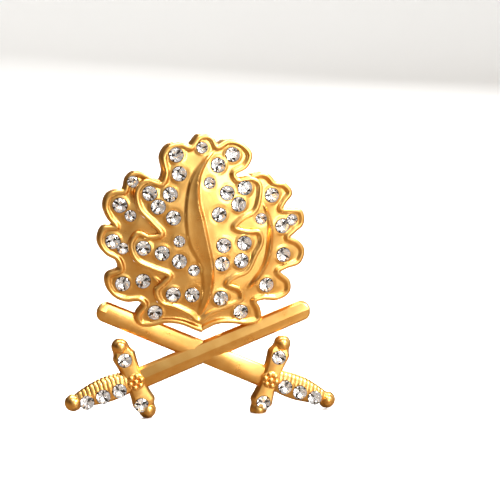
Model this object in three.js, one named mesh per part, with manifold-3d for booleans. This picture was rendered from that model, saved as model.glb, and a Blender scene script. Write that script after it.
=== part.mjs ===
// Cap badge: three oak leaves over two crossed swords, set with round stones,
// with a flanged post at the back and a butterfly clutch on the post.
// Millimetres. The badge stands upright in XZ: it faces -Y, +X is to its right, +Z is up.
// Y = 0 is the back edge of the leaves and the post's axis is the Y axis.
import * as THREE from 'three';
import { mergeVertices } from 'three/addons/utils/BufferGeometryUtils.js';
import Module from 'manifold-3d';

const wasm = await Module();
wasm.setup();

// ---- driving dimensions ----
const STEP = 0.72; // spacing of the leaves' surface grid
const GAP = 0.06; // clearance between neighbouring parts that are soldered together
const EDGE_HEIGHT = 1.0; // front of the side leaves at their edge
const DOME = 1.2; // extra height of the side leaves in the middle of the badge
const CENTRE_STEP = 0.5; // how far the centre leaf stands in front of the side leaves
const HOLLOW = 1.4; // depth of the dished back
const RIM = 0.7; // width of the flat rim around the dished back
const BEAD = 0.18; // height of the raised edge over the dished lobes
const CLEAR = 0.05; // clearance of a stone in its seat

const STONE = { big: 0.76, small: 0.59, sword: 0.74 }; // stone radii
const BLADE_LENGTH = 18.65; // rosette centre to the tip
const GRIP_RISE = 18.2; // slope of both grips, degrees
const HILT_X = 6.9; // rosette centres from the swords' plane of symmetry
const HILT_Z = -13.45;
const MIDDLE_X = 0.02; // the swords' plane of symmetry
const UPPER_REACH = 3.82; // rosette centre to the ball at each end of the guard
const LOWER_REACH = 3.3;
const SWORD_Y = -0.4; // middle of the swords' thickness

const POST_R = 0.5;
const POST_TIP = 5.4;
const GROOVE_Y = 3.05; // middle of the groove that the clutch's jaws face
const DISC_Y = 1.7; // cloth side of the clutch's disc
const DISC_R = 5.9;
const PIVOT_X = 1.9; // wing pivots, from the post's axis
const PIVOT_Y = 4.3;
const WING_TILT = 27; // lean of each wing away from the post, degrees

// ---- materials ----
const gold = new THREE.MeshStandardMaterial({ color: 0xd9a648, roughness: 0.38, metalness: 1 });
const bright = new THREE.MeshStandardMaterial({ color: 0xe3b85c, roughness: 0.15, metalness: 1 });
const crystal = new THREE.MeshStandardMaterial({ color: 0xe9edf0, roughness: 0.05, metalness: 0.1 });

// ---- outlines: smooth closed curves through the lobe tips, flanks and notches ----
const CENTRE_LEAF = [
  [-1.3, 10.0], [-2.3, 10.3], [-3.4, 10.0], [-4.0, 9.1], [-3.8, 7.5], [-4.3, 6.5], [-5.8, 6.8],
  [-6.7, 5.8], [-6.5, 4.2], [-5.3, 2.8], [-4.4, 1.6], [-5.6, 1.3], [-6.7, 1.7], [-7.4, 0.6],
  [-6.8, -1.0], [-5.3, -1.8], [-3.6, -2.6], [-4.3, -3.4], [-4.9, -4.1], [-4.4, -5.3], [-3.0, -5.8],
  [-1.5, -6.6], [-0.6, -7.3], [0.6, -6.5], [2.2, -5.9], [3.7, -5.2], [3.5, -4.3], [2.2, -3.6],
  [3.0, -2.9], [4.2, -2.4], [5.0, -0.9], [5.7, 0.6], [5.4, 1.5], [4.2, 1.6], [2.9, 2.1],
  [3.7, 2.9], [5.0, 3.6], [5.5, 4.9], [5.5, 6.3], [4.7, 6.8], [3.3, 6.7], [2.9, 7.4],
  [4.1, 8.1], [4.6, 9.2], [3.7, 10.2], [2.5, 10.5], [1.3, 10.0], [0.7, 10.9], [-0.3, 11.0],
];
const LEFT_LEAF = [
  [-5.2, 6.9], [-6.6, 7.5], [-7.4, 7.0], [-7.8, 5.8], [-8.6, 5.7], [-9.4, 5.3], [-9.7, 4.3],
  [-9.3, 3.2], [-8.7, 2.3], [-9.9, 2.1], [-10.3, 0.9], [-9.7, -0.2], [-8.6, -0.9], [-8.3, -2.0],
  [-9.5, -2.6], [-9.5, -3.6], [-8.9, -4.5], [-7.8, -5.0], [-6.5, -5.0], [-5.9, -5.6], [-6.6, -6.7],
  [-6.3, -7.5], [-5.2, -7.6], [-3.9, -7.3], [-2.3, -7.5], [-0.9, -8.3], [0.0, -8.8], [0.0, -4.0],
  [-3.0, 2.0],
];
const RIGHT_LEAF = [
  [5.4, 7.1], [6.4, 7.0], [7.2, 6.2], [8.2, 6.0], [8.8, 5.2], [8.2, 4.4], [7.8, 3.6],
  [9.0, 3.4], [9.9, 3.2], [10.0, 2.1], [9.2, 1.4], [8.5, 0.7], [9.6, 0.1], [10.1, -0.7],
  [9.7, -1.8], [8.4, -2.2], [7.5, -2.7], [8.6, -3.8], [8.6, -4.8], [7.5, -5.4], [6.0, -5.3],
  [5.1, -5.6], [5.5, -6.4], [5.6, -7.5], [4.5, -7.8], [2.9, -7.6], [1.3, -7.6], [-0.1, -8.4],
  [-1.0, -8.8], [-1.0, -4.0], [2.0, 2.0],
];
const CENTRE_RIB = [[1.2, 9.6], [-0.1, 8.5], [-1.0, 6.9], [-1.3, 4.9], [-1.1, 2.6], [-0.7, 0.4], [-0.1, -1.8], [0.0, -4.0], [-0.4, -6.4]];
const RIGHT_RIB = [[6.0, 4.2], [6.6, 2.4], [6.6, 0.2], [6.1, -2.0], [4.9, -3.8], [4.3, -4.4]];

// ---- stones on the leaves: x, z and size ----
const CENTRE_STONES = [
  [-2.8, 9.35, 'big'], [-0.2, 10.0, 'small'], [-2.55, 7.5, 'big'], [2.85, 9.25, 'big'],
  [1.35, 8.25, 'big'], [0.45, 6.55, 'small'], [-5.5, 5.65, 'big'], [-3.5, 5.5, 'big'],
  [-4.7, 4.3, 'big'], [-3.2, 3.2, 'big'], [2.2, 5.5, 'big'], [4.0, 5.95, 'big'],
  [3.35, 4.35, 'big'], [1.35, 3.4, 'big'], [-6.2, 0.25, 'big'], [-4.35, -0.3, 'big'],
  [-2.65, 0.85, 'small'], [-2.65, -1.15, 'big'], [-1.2, -2.1, 'small'], [1.8, 0.3, 'big'],
  [3.9, 0.45, 'big'], [1.65, -1.55, 'big'], [3.6, -1.3, 'big'], [-3.25, -4.5, 'big'],
  [-1.35, -4.6, 'big'], [1.55, -5.05, 'big'],
];
const LEFT_STONES = [
  [-7.05, 6.75, 'small'], [-8.35, 4.45, 'big'], [-7.35, 3.4, 'small'], [-8.15, -3.4, 'big'],
  [-6.15, -3.15, 'big'], [-4.95, -6.4, 'big'],
];
const LEFT_PAIR = [[-9.08, 0.87, 'big'], [-8.12, 0.17, 'small']];
const RIGHT_STONES = [
  [6.9, 5.05, 'big'], [5.75, 2.75, 'small'], [8.1, -1.0, 'big'], [6.35, -4.0, 'big'],
  [3.75, -6.65, 'big'],
];
const RIGHT_PAIR = [[7.97, 1.93, 'big'], [9.0, 2.49, 'small']];
// The two swords. side 1 has its hilt at the left, rise is the blade's slope in degrees, and each
// stone is given by its distance from the rosette towards the pommel and its offset up the guard.
const FRONT_SWORD = {
  side: 1,
  rise: 22.6,
  guard: [[0.15, 2.5], [0.4, -2.42]],
  grip: [[1.83, -0.26], [3.55, -0.26], [5.25, -0.26]],
};
const REAR_SWORD = {
  side: -1,
  rise: 20.9,
  guard: [[0, 2.45], [0.08, -2.42]],
  grip: [[1.64, -0.15], [3.3, -0.15], [4.98, -0.15]],
};

// ---- solids ----
function onlyPositions(geometry) {
  const g = geometry.index ? geometry.toNonIndexed() : geometry.clone();
  for (const key of Object.keys(g.attributes)) {
    if (key !== 'position') g.deleteAttribute(key);
  }
  return g;
}

function toManifold(geometry) {
  const g = mergeVertices(onlyPositions(geometry), 1e-4);
  const mesh = new wasm.Mesh({
    numProp: 3,
    vertProperties: new Float32Array(g.attributes.position.array),
    triVerts: new Uint32Array(g.index.array),
  });
  return new wasm.Manifold(mesh);
}

function toGeometry(solid) {
  const mesh = solid.getMesh();
  const g = new THREE.BufferGeometry();
  g.setAttribute('position', new THREE.BufferAttribute(new Float32Array(mesh.vertProperties), 3));
  g.setIndex(new THREE.BufferAttribute(new Uint32Array(mesh.triVerts), 1));
  const flat = g.toNonIndexed();
  flat.computeVertexNormals();
  return flat;
}

// closed skin from points and triangles, turned so that its faces point outwards
function fromTriangles(points, triangles) {
  const volume = triangles.reduce((sum, [a, b, c]) => {
    const [p, q, r] = [points[a], points[b], points[c]].map((v) => new THREE.Vector3(...v));
    return sum + p.dot(q.cross(r));
  }, 0);
  const outward = volume > 0 ? triangles : triangles.map(([a, b, c]) => [a, c, b]);
  const g = new THREE.BufferGeometry();
  g.setAttribute('position', new THREE.Float32BufferAttribute(points.flat(), 3));
  g.setIndex(outward.flat());
  return toManifold(g);
}

function unionOf(solids) {
  return solids.reduce((sum, solid) => sum.add(solid));
}

// rings of equal length, joined in order and closed with flat ends
function loft(rings) {
  const n = rings[0].length;
  const points = rings.flat();
  const triangles = [];
  for (let i = 0; i + 1 < rings.length; i++) {
    for (let j = 0; j < n; j++) {
      const a = i * n + j;
      const b = i * n + ((j + 1) % n);
      triangles.push([a, b, b + n], [a, b + n, a + n]);
    }
  }
  const last = (rings.length - 1) * n;
  for (let j = 1; j + 1 < n; j++) {
    triangles.push([0, j + 1, j]);
    triangles.push([last, last + j, last + j + 1]);
  }
  return fromTriangles(points, triangles);
}

// a solid of revolution about the Y axis; profile points are [radius, y]
function turned(profile, segments) {
  const points = profile.map(([r, y]) => new THREE.Vector2(r, y));
  const g = mergeVertices(onlyPositions(new THREE.LatheGeometry(points, segments)), 1e-4);
  const p = g.attributes.position;
  const corners = Array.from({ length: p.count }, (_, i) => [p.getX(i), p.getY(i), p.getZ(i)]);
  const triangles = [];
  for (let i = 0; i < g.index.count; i += 3) {
    const [a, b, c] = [0, 1, 2].map((k) => g.index.getX(i + k));
    if (a !== b && b !== c && c !== a) triangles.push([a, b, c]);
  }
  return fromTriangles(corners, triangles);
}

function moved(solid, matrix) {
  return solid.transform(matrix.elements);
}

function lobeCurve(points) {
  const nodes = points.map(([x, z]) => new THREE.Vector3(x, z, 0));
  const curve = new THREE.CatmullRomCurve3(nodes, true, 'centripetal');
  return curve.getPoints(points.length * 4).map((p) => [p.x, p.y]);
}

function ribCurve(points) {
  const nodes = points.map(([x, z]) => new THREE.Vector3(x, z, 0));
  return new THREE.CatmullRomCurve3(nodes).getPoints(24).map((p) => [p.x, p.y]);
}

function segmentDistance(x, z, a, b) {
  const dx = b[0] - a[0];
  const dz = b[1] - a[1];
  const t = ((x - a[0]) * dx + (z - a[1]) * dz) / (dx * dx + dz * dz || 1);
  const u = Math.min(1, Math.max(0, t));
  return Math.hypot(x - a[0] - u * dx, z - a[1] - u * dz);
}

// distance to a closed outline, positive inside
function insideDistance(outline, x, z) {
  let inside = false;
  let nearest = Infinity;
  for (let i = 0; i < outline.length; i++) {
    const a = outline[i];
    const b = outline[(i + 1) % outline.length];
    nearest = Math.min(nearest, segmentDistance(x, z, a, b));
    if ((a[1] > z) !== (b[1] > z) && x < a[0] + ((z - a[1]) * (b[0] - a[0])) / (b[1] - a[1])) {
      inside = !inside;
    }
  }
  return inside ? nearest : -nearest;
}

function curveDistance(curve, x, z) {
  let nearest = Infinity;
  for (let i = 0; i + 1 < curve.length; i++) {
    nearest = Math.min(nearest, segmentDistance(x, z, curve[i], curve[i + 1]));
  }
  return nearest;
}

// ---- the leaves ----
const EDGE = 0.25; // from the top of the raised edge to the outline
const centreOutline = lobeCurve(CENTRE_LEAF);
const leftOutline = lobeCurve(LEFT_LEAF);
const rightOutline = lobeCurve(RIGHT_LEAF);
const centreRib = ribCurve(CENTRE_RIB);
const rightRib = ribCurve(RIGHT_RIB);

const centreField = (x, z) => insideDistance(centreOutline, x, z) + EDGE;
const leftField = (x, z) => {
  const own = insideDistance(leftOutline, x, z) + EDGE;
  return Math.min(own, -centreField(x, z) - GAP, MIDDLE_X - 0.2 - GAP / 2 - x);
};
const rightField = (x, z) => {
  const own = insideDistance(rightOutline, x, z) + EDGE;
  return Math.min(own, -centreField(x, z) - GAP, x - MIDDLE_X + 0.2 - GAP / 2);
};

function domeAt(x, z) {
  return Math.max(0, 1 - (x / 11.5) ** 2 - ((z - 1) / 11) ** 2);
}

function frontAt(x, z, raised) {
  return EDGE_HEIGHT + DOME * domeAt(x, z) + raised;
}

// the back is flat along the badge's outer edge and dished inside it
function backAt(x, z) {
  const outer = Math.max(centreField(x, z), insideDistance(leftOutline, x, z) + EDGE,
    insideDistance(rightOutline, x, z) + EDGE);
  const wall = Math.min(1, Math.max(0, (outer - RIM) / 0.8));
  return HOLLOW * domeAt(x, z) * wall;
}

// grid of cells cut along the outline, as a front skin, a back skin and the wall between them
function reliefBody(field, front, back) {
  const lo = [-11.5, -10.5];
  const nx = Math.ceil(23 / STEP);
  const nz = Math.ceil(22.5 / STEP);
  const at = (i, j) => [lo[0] + i * STEP, lo[1] + j * STEP];
  const values = new Map();
  const value = (i, j) => {
    const key = `${i},${j}`;
    if (!values.has(key)) values.set(key, field(...at(i, j)));
    return values.get(key);
  };
  const ids = new Map();
  const flat = [];
  const vertex = (key, x, z) => {
    if (!ids.has(key)) {
      ids.set(key, flat.length);
      flat.push([x, z]);
    }
    return ids.get(key);
  };
  const crossing = (i, j, k, l) => {
    if (i > k || j > l) return crossing(k, l, i, j);
    const a = value(i, j);
    const b = value(k, l);
    const t = Math.min(0.9, Math.max(0.1, a / (a - b)));
    const p = at(i, j);
    const q = at(k, l);
    return vertex(`${i},${j}-${k},${l}`, p[0] + t * (q[0] - p[0]), p[1] + t * (q[1] - p[1]));
  };
  const faces = [];
  const border = [];
  for (let i = 0; i < nx; i++) {
    for (let j = 0; j < nz; j++) {
      const corners = [[i, j], [i + 1, j], [i + 1, j + 1], [i, j + 1]];
      const polygon = [];
      corners.forEach((c, n) => {
        const d = corners[(n + 1) % 4];
        if (value(...c) > 0) polygon.push([vertex(`${c}`, ...at(...c)), false]);
        if (value(...c) > 0 !== value(...d) > 0) polygon.push([crossing(...c, ...d), true]);
      });
      polygon.forEach((p, n) => {
        const q = polygon[(n + 1) % polygon.length];
        if (p[1] && q[1]) border.push([p[0], q[0]]);
      });
      for (let n = 1; n + 1 < polygon.length; n++) {
        faces.push([polygon[0][0], polygon[n][0], polygon[n + 1][0]]);
      }
    }
  }
  const n = flat.length;
  const onEdge = new Set(border.flat());
  const fronts = flat.map(([x, z], v) => [x, -front(x, z, onEdge.has(v)), z]);
  const backs = flat.map(([x, z]) => [x, -back(x, z), z]);
  const triangles = [];
  faces.forEach(([a, b, c]) => triangles.push([a, b, c], [a + n, c + n, b + n]));
  border.forEach(([a, b]) => triangles.push([b, a, a + n], [b, a + n, b + n]));
  return fromTriangles([...fronts, ...backs], triangles);
}

// the lobes are dished inside a raised edge, and the rib stands up along the middle
function leafFront(raised, field, rib, ribHeight) {
  return (x, z, onEdge) => {
    const depth = onEdge ? 0 : Math.min(1, Math.max(0, field(x, z) / 0.6));
    const ridge = rib ? Math.max(0, 1 - curveDistance(rib, x, z) / 0.9) : 0;
    return frontAt(x, z, raised) + BEAD * (1 - depth) + ribHeight * ridge;
  };
}

// ---- stones ----
function brilliant(radius) {
  return turned([[0, -0.42 * radius], [0.6 * radius, -0.42 * radius], [radius, -0.04 * radius],
    [0, 0.72 * radius]], 8);
}

function seatCutter(radius) {
  const r = radius + CLEAR;
  return turned([[0, -1.6], [r, -1.6], [r, 0.04], [0, 0.72 * radius + 0.12]], 8);
}

// stands a stone or a cutter on the badge's front at x, z, square to the dome
function onDome(x, z, height) {
  const slopeX = (-2 * DOME * x) / 11.5 ** 2;
  const slopeZ = (-2 * DOME * (z - 1)) / 11 ** 2;
  const out = new THREE.Vector3(-slopeX, -1, -slopeZ).normalize();
  const turn = new THREE.Quaternion().setFromUnitVectors(new THREE.Vector3(0, -1, 0), out);
  return new THREE.Matrix4().compose(new THREE.Vector3(x, -height, z), turn, new THREE.Vector3(1, 1, 1));
}

function stoneAt([x, z, size], raised) {
  return moved(brilliant(STONE[size]), onDome(x, z, frontAt(x, z, raised)));
}

function seatAt([x, z, size], raised) {
  return moved(seatCutter(STONE[size]), onDome(x, z, frontAt(x, z, raised)));
}

function leafWithSeats(body, stones, raised) {
  return stones.reduce((solid, stone) => solid.subtract(seatAt(stone, raised)), body);
}

// ---- swords: made with the rosette at the origin, the blade along +X and the pommel along -X ----
function bladeRing(x, half) {
  const edge = Math.max(0.04, half - 0.24);
  const rise = Math.min(1, half / 0.5);
  const outline = [[0.46, edge], [0.62, 0], [0.46, -edge], [0.1, -half], [-0.1, -half],
    [-0.46, -edge], [-0.62, 0], [-0.46, edge], [-0.1, half], [0.1, half]];
  return outline.map(([y, z]) => [x, y * rise, z]);
}

function blade(start) {
  const halfAt = (x) => 1.08 - (0.15 * x) / BLADE_LENGTH;
  const tip = 0.9;
  const shoulder = BLADE_LENGTH - tip;
  const rings = [bladeRing(start, halfAt(start)), bladeRing(shoulder, halfAt(shoulder))];
  [30, 50, 68].forEach((angle) => {
    const a = THREE.MathUtils.degToRad(angle);
    rings.push(bladeRing(shoulder + tip * Math.sin(a), halfAt(shoulder) * Math.cos(a)));
  });
  return loft(rings);
}

function ball(x, z, r, depth) {
  const y = depth - r;
  const a = Math.SQRT1_2 * r;
  const profile = [[0, -depth], [a, -y - a], [r, -y], [r, y], [a, y + a], [0, depth]];
  return moved(turned(profile, 8), new THREE.Matrix4().makeTranslation(x, 0, z));
}

// one arm of the cross guard: sloping walls, a flat face, shoulders and a ball
function guardArm(direction, reach) {
  const stations = [[-0.06, 0.96], [0.35, 1.0], [0.72, 1.18], [0.86, 0.86], [0.9, 0.6]];
  const slope = 0.3;
  const rings = stations.map(([t, w]) => {
    const z = direction * t * reach;
    const ring = [[-w, 0.1], [-w, -0.1], [-w + slope, -0.72], [w - slope, -0.72], [w, -0.1], [w, 0.1],
      [w - slope, 0.72], [-w + slope, 0.72]].map(([x, y]) => [x, y, z]);
    return direction > 0 ? ring : ring.reverse();
  });
  return unionOf([loft(rings), ball(0, direction * reach, 0.76, 0.84)]);
}

// seven small balls: one in the middle and six around it, showing on both faces
function rosette() {
  const balls = [ball(0, 0, 0.31, 1.06)];
  for (let i = 0; i < 6; i++) {
    const a = (i * Math.PI) / 3;
    balls.push(ball(0.57 * Math.cos(a), 0.57 * Math.sin(a), 0.3, 1.02));
  }
  return unionOf(balls);
}

function gripTurn(kind) {
  return new THREE.Matrix4().makeRotationY(THREE.MathUtils.degToRad(kind.rise - GRIP_RISE));
}

// bulged grip with slanting ribs, and the pommel
function grip(kind) {
  const rings = [];
  const ribs = 12;
  const length = 5.7;
  for (let i = 0; i <= 2 * ribs; i++) {
    const t = i / (2 * ribs);
    const rib = i % 2 ? 0.06 : 0;
    const half = 0.64 + 0.42 * (1 - t) + 0.4 * Math.sin(Math.PI * t) + rib;
    const thick = 0.56 + 0.28 * Math.sin(Math.PI * t) + rib;
    const ring = [];
    for (let k = 0; k < 8; k++) {
      const a = (k * Math.PI) / 4;
      const z = half * Math.cos(a);
      ring.push([-0.4 - length * t + 0.25 * z, thick * Math.sin(a), z + 0.06]);
    }
    rings.push(ring);
  }
  return moved(unionOf([loft(rings), ball(-6.5, 0, 0.7, 0.76)]), gripTurn(kind));
}

function swordPlace(kind) {
  const turn = new THREE.Matrix4().makeRotationY(THREE.MathUtils.degToRad(-kind.rise));
  const x = MIDDLE_X - kind.side * HILT_X;
  const move = new THREE.Matrix4().makeTranslation(x, SWORD_Y, HILT_Z);
  const flip = new THREE.Matrix4().makeScale(kind.side, 1, 1);
  return new THREE.Matrix4().multiplyMatrices(move, flip.multiply(turn));
}

function swordStonePlaces(kind) {
  const guard = kind.guard.map(([x, z]) => new THREE.Vector3(-x, -0.76, z));
  const grips = kind.grip.map(([x, z]) => new THREE.Vector3(-x, -0.88, z).applyMatrix4(gripTurn(kind)));
  return [...guard, ...grips].map((p) => new THREE.Matrix4().makeTranslation(p.x, p.y, p.z));
}

function sword(kind) {
  const parts = [blade(0.2), guardArm(1, UPPER_REACH), guardArm(-1, LOWER_REACH), rosette(), grip(kind)];
  const seats = swordStonePlaces(kind).map((place) => moved(seatCutter(STONE.sword), place));
  const solid = seats.reduce((whole, seat) => whole.subtract(seat), unionOf(parts));
  return moved(solid, swordPlace(kind));
}

function swordStones(kind) {
  return swordStonePlaces(kind).map((place) => {
    return moved(moved(brilliant(STONE.sword), place), swordPlace(kind));
  });
}

// a blade made a little larger all round, to cut its bed in whatever lies over it
function bladeBed(kind) {
  const grow = new THREE.Matrix4().makeScale(1.005, 1.09, 1.07);
  return moved(moved(blade(0.2), grow), swordPlace(kind));
}

// ---- post and clutch ----
function post() {
  const y0 = -HOLLOW + GAP;
  const neck = POST_R - 0.12;
  return turned([[0, y0], [1.6, y0], [1.6, y0 + 0.35], [POST_R, y0 + 0.35], [POST_R, GROOVE_Y - 0.3],
    [neck, GROOVE_Y - 0.16], [neck, GROOVE_Y + 0.16], [POST_R, GROOVE_Y + 0.3], [POST_R, POST_TIP - 0.8],
    [0.12, POST_TIP], [0, POST_TIP]], 14);
}

function clutchDisc() {
  const hole = POST_R + 0.1;
  return turned([[hole, DISC_Y], [4.7, DISC_Y], [5.15, DISC_Y + 0.25], [5.55, DISC_Y + 0.25],
    [DISC_R, DISC_Y + 0.5], [DISC_R, DISC_Y + 0.95], [5.6, DISC_Y + 1.15], [5.2, DISC_Y + 1.0],
    [4.7, DISC_Y + 0.45], [hole, DISC_Y + 0.45], [hole, DISC_Y]], 32);
}

function plate(shape, depth) {
  return toManifold(new THREE.ExtrudeGeometry(shape, { depth, bevelEnabled: false, curveSegments: 6 }));
}

// cup on the disc with two upright lugs that hold the wing pivots
function clutchHousing() {
  const y0 = DISC_Y + 0.5;
  const cup = turned([[2.5, y0], [3.7, y0], [3.7, y0 + 0.35], [2.5, y0 + 0.35], [2.5, y0]], 20);
  const lug = new THREE.Shape();
  lug.moveTo(-2.8, y0 + 0.1);
  lug.lineTo(2.8, y0 + 0.1);
  lug.lineTo(2.5, PIVOT_Y + 0.2);
  lug.absarc(PIVOT_X, PIVOT_Y, 0.6, 0, Math.PI, false);
  lug.lineTo(1.2, 3.5);
  lug.lineTo(-1.2, 3.5);
  lug.absarc(-PIVOT_X, PIVOT_Y, 0.6, 0, Math.PI, false);
  lug.lineTo(-2.8, y0 + 0.1);
  const holes = [-1, 1].map((s) => {
    const hole = new THREE.Path();
    hole.absarc(s * PIVOT_X, PIVOT_Y, 0.31, 0, 2 * Math.PI, true);
    return hole;
  });
  lug.holes.push(...holes);
  const upper = moved(plate(lug, 0.4), new THREE.Matrix4().makeTranslation(0, 0, 2.6));
  const lower = moved(plate(lug, 0.4), new THREE.Matrix4().makeTranslation(0, 0, -3.0));
  return unionOf([cup, upper, lower]);
}

// rounded ear outline around the pivot line; u is along the pivot, v is outwards
function earShape(width, height, foot) {
  const ear = new THREE.Shape();
  ear.moveTo(-foot, 0);
  ear.lineTo(foot, 0);
  ear.lineTo(foot, 0.85);
  ear.bezierCurveTo(width, 1.2, width * 1.05, height * 0.98, 0, height);
  ear.bezierCurveTo(-width * 1.05, height * 0.98, -width, 1.2, -foot, 0.85);
  ear.lineTo(-foot, 0);
  return ear;
}

// side -1 is the left wing: an ear with a raised lip, a pivot pin and a jaw that grips the post
function wing(side) {
  const lip = earShape(5.0, 4.6, 2.3);
  lip.holes.push(new THREE.Path(earShape(4.1, 4.0, 1.9).getPoints(6).map((p) => p.clone().add(new THREE.Vector2(0, 0.25)))));
  const web = earShape(4.4, 4.2, 2.1);
  const slot = new THREE.Path();
  slot.absellipse(0, 2.2, 1.3, 0.75, 0, 2 * Math.PI, true);
  web.holes.push(slot);
  const ear = unionOf([
    moved(plate(lip, 0.8), new THREE.Matrix4().makeTranslation(0, 0, -0.1)),
    moved(plate(web, 0.3), new THREE.Matrix4().makeTranslation(0, 0, -0.1)),
  ]);
  const lean = THREE.MathUtils.degToRad(WING_TILT);
  const along = new THREE.Vector3(0, 0, 1);
  const up = new THREE.Vector3(side * Math.sin(lean), Math.cos(lean), 0);
  const out = new THREE.Vector3().crossVectors(along, up);
  const basis = new THREE.Matrix4().makeBasis(along, up, out).setPosition(side * PIVOT_X, PIVOT_Y, 0);
  const pin = moved(turned([[0, -3.1], [0.27, -3.1], [0.27, 3.1], [0, 3.1]], 12),
    new THREE.Matrix4().makeRotationX(Math.PI / 2).setPosition(side * PIVOT_X, PIVOT_Y, 0));
  const jaw = new THREE.Shape();
  jaw.moveTo(side * (PIVOT_X + 0.2), PIVOT_Y);
  jaw.lineTo(side * (PIVOT_X - 0.2), PIVOT_Y + 0.1);
  jaw.lineTo(side * 1.0, 3.35);
  jaw.lineTo(side * (POST_R + 0.08), 3.2);
  jaw.lineTo(side * (POST_R + 0.08), 2.9);
  jaw.lineTo(side * 1.2, 2.95);
  jaw.closePath();
  const jawSolid = moved(plate(jaw, 2.4), new THREE.Matrix4().makeTranslation(0, 0, -1.2));
  return unionOf([moved(ear, basis), pin, jawSolid]);
}

// ---- assembly ----
const group = new THREE.Group();

function add(name, solid, material) {
  const mesh = new THREE.Mesh(toGeometry(solid), material);
  mesh.name = name;
  group.add(mesh);
}

const beds = bladeBed(FRONT_SWORD).add(bladeBed(REAR_SWORD));

function addLeaf(name, field, raised, stones, rib, ribHeight) {
  const body = reliefBody(field, leafFront(raised, field, rib, ribHeight), backAt);
  add(name, leafWithSeats(body, stones, raised).subtract(beds), gold);
}

addLeaf('centre_leaf', centreField, CENTRE_STEP, CENTRE_STONES, centreRib, 0.3);
addLeaf('left_leaf', leftField, 0, [...LEFT_STONES, ...LEFT_PAIR], null, 0);
addLeaf('right_leaf', rightField, 0, [...RIGHT_STONES, ...RIGHT_PAIR], rightRib, 0.25);

// the front sword's blade runs through the crossing, and parts the rear sword's blade in two
add('front_sword', sword(FRONT_SWORD), gold);
const halves = sword(REAR_SWORD).subtract(bladeBed(FRONT_SWORD)).decompose();
halves.sort((a, b) => b.volume() - a.volume());
add('rear_sword', halves[0], gold);
add('rear_sword_point', halves[1], gold);

CENTRE_STONES.forEach((s, i) => add(`centre_stone_${i + 1}`, stoneAt(s, CENTRE_STEP), crystal));
LEFT_STONES.forEach((s, i) => add(`left_stone_${i + 1}`, stoneAt(s, 0), crystal));
RIGHT_STONES.forEach((s, i) => add(`right_stone_${i + 1}`, stoneAt(s, 0), crystal));
add('left_stone_pair', unionOf(LEFT_PAIR.map((s) => stoneAt(s, 0))), crystal);
add('right_stone_pair', unionOf(RIGHT_PAIR.map((s) => stoneAt(s, 0))), crystal);
swordStones(FRONT_SWORD).forEach((s, i) => add(`front_sword_stone_${i + 1}`, s, crystal));
swordStones(REAR_SWORD).forEach((s, i) => add(`rear_sword_stone_${i + 1}`, s, crystal));

add('post', post(), bright);
add('clutch_disc', clutchDisc(), bright);
add('clutch_housing', clutchHousing(), bright);
add('wing_left', wing(-1), bright);
add('wing_right', wing(1), bright);

export default group;
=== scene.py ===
"""Cap badge: relief leaves, crossed swords, brilliant-cut stones, post and butterfly clutch.

Lengths are millimetres inside the shape functions and metres in the meshes. The badge faces -Y.
"""

import math

import bmesh
import bpy
import numpy as np
from mathutils import Matrix, Vector


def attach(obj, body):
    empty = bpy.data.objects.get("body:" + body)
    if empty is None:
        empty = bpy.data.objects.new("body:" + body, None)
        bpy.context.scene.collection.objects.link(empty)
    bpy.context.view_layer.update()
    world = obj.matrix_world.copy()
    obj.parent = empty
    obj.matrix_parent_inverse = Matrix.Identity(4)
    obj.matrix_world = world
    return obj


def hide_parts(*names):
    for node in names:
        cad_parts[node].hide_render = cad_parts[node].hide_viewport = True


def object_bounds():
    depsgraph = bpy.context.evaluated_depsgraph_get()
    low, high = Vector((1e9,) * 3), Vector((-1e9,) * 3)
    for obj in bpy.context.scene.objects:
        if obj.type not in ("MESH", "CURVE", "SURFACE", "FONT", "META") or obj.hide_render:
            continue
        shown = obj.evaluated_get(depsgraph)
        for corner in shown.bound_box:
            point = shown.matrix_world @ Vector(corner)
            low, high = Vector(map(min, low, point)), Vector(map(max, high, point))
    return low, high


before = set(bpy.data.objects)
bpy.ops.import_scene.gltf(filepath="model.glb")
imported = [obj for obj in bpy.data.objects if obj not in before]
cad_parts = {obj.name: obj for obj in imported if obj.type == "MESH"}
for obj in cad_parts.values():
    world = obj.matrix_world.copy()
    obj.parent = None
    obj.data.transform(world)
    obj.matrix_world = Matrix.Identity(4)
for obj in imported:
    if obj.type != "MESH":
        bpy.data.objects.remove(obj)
cad_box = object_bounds()
MM = 0.001

# ---- driving dimensions, as in the solid model ----
CELL = 0.09  # spacing of the leaves' surface grid
GAP = 0.02  # between neighbouring leaves
EDGE = 0.25  # from the top of the rounded edge to the outline
EDGE_HEIGHT = 1.0  # of the leaves' face at the outline
BEAD = 0.2  # rise of the rounded edge
DISH = 0.12  # fall of the face inside the rounded edge
DOME = 1.2  # rise of the leaves towards the middle
DOME_X = 11.5  # reach of the dome sideways
DOME_Z = 11  # and up or down from its middle
DOME_MIDDLE = 1
CENTRE_STEP = 0.5  # the centre leaf stands this much over the side ones
HOLLOW = 1.4  # depth of the dished back
RIM = 0.45  # width of the flat rim round the back
STONE = {"big": 0.76, "small": 0.59, "sword": 0.74}  # radii
PAVILION = 0.62  # a stone's depth below its widest ring, as a share of its radius
SEAT_CLEAR = 0.025  # round a stone in its seat
STONE_SPIN = 0.7  # radians that each stone is turned past the one before
BLADE_LENGTH = 19.2
BLADE_POINT = 0.9  # length of the blade's rounded end
REAR_THICK = 0.68  # the rear blade's thickness as a share of the front one's
GRIP_START = 0.4
GRIP_LENGTH = 5.7
POMMEL_X = -6.5
GUARD_UP = 3.82  # from the rosette to the knob at the guard's upper end
GUARD_DOWN = 3.3
KNOB = 0.88
HILT_X = 6.9  # from the middle of the badge to each rosette
MIDDLE_X = 0.02
SPLIT_X = MIDDLE_X - 0.2  # the side leaves meet here, behind the centre one
SWORD_Y = -0.4
POST_R = 0.5
POST_TIP = 5.4
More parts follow.
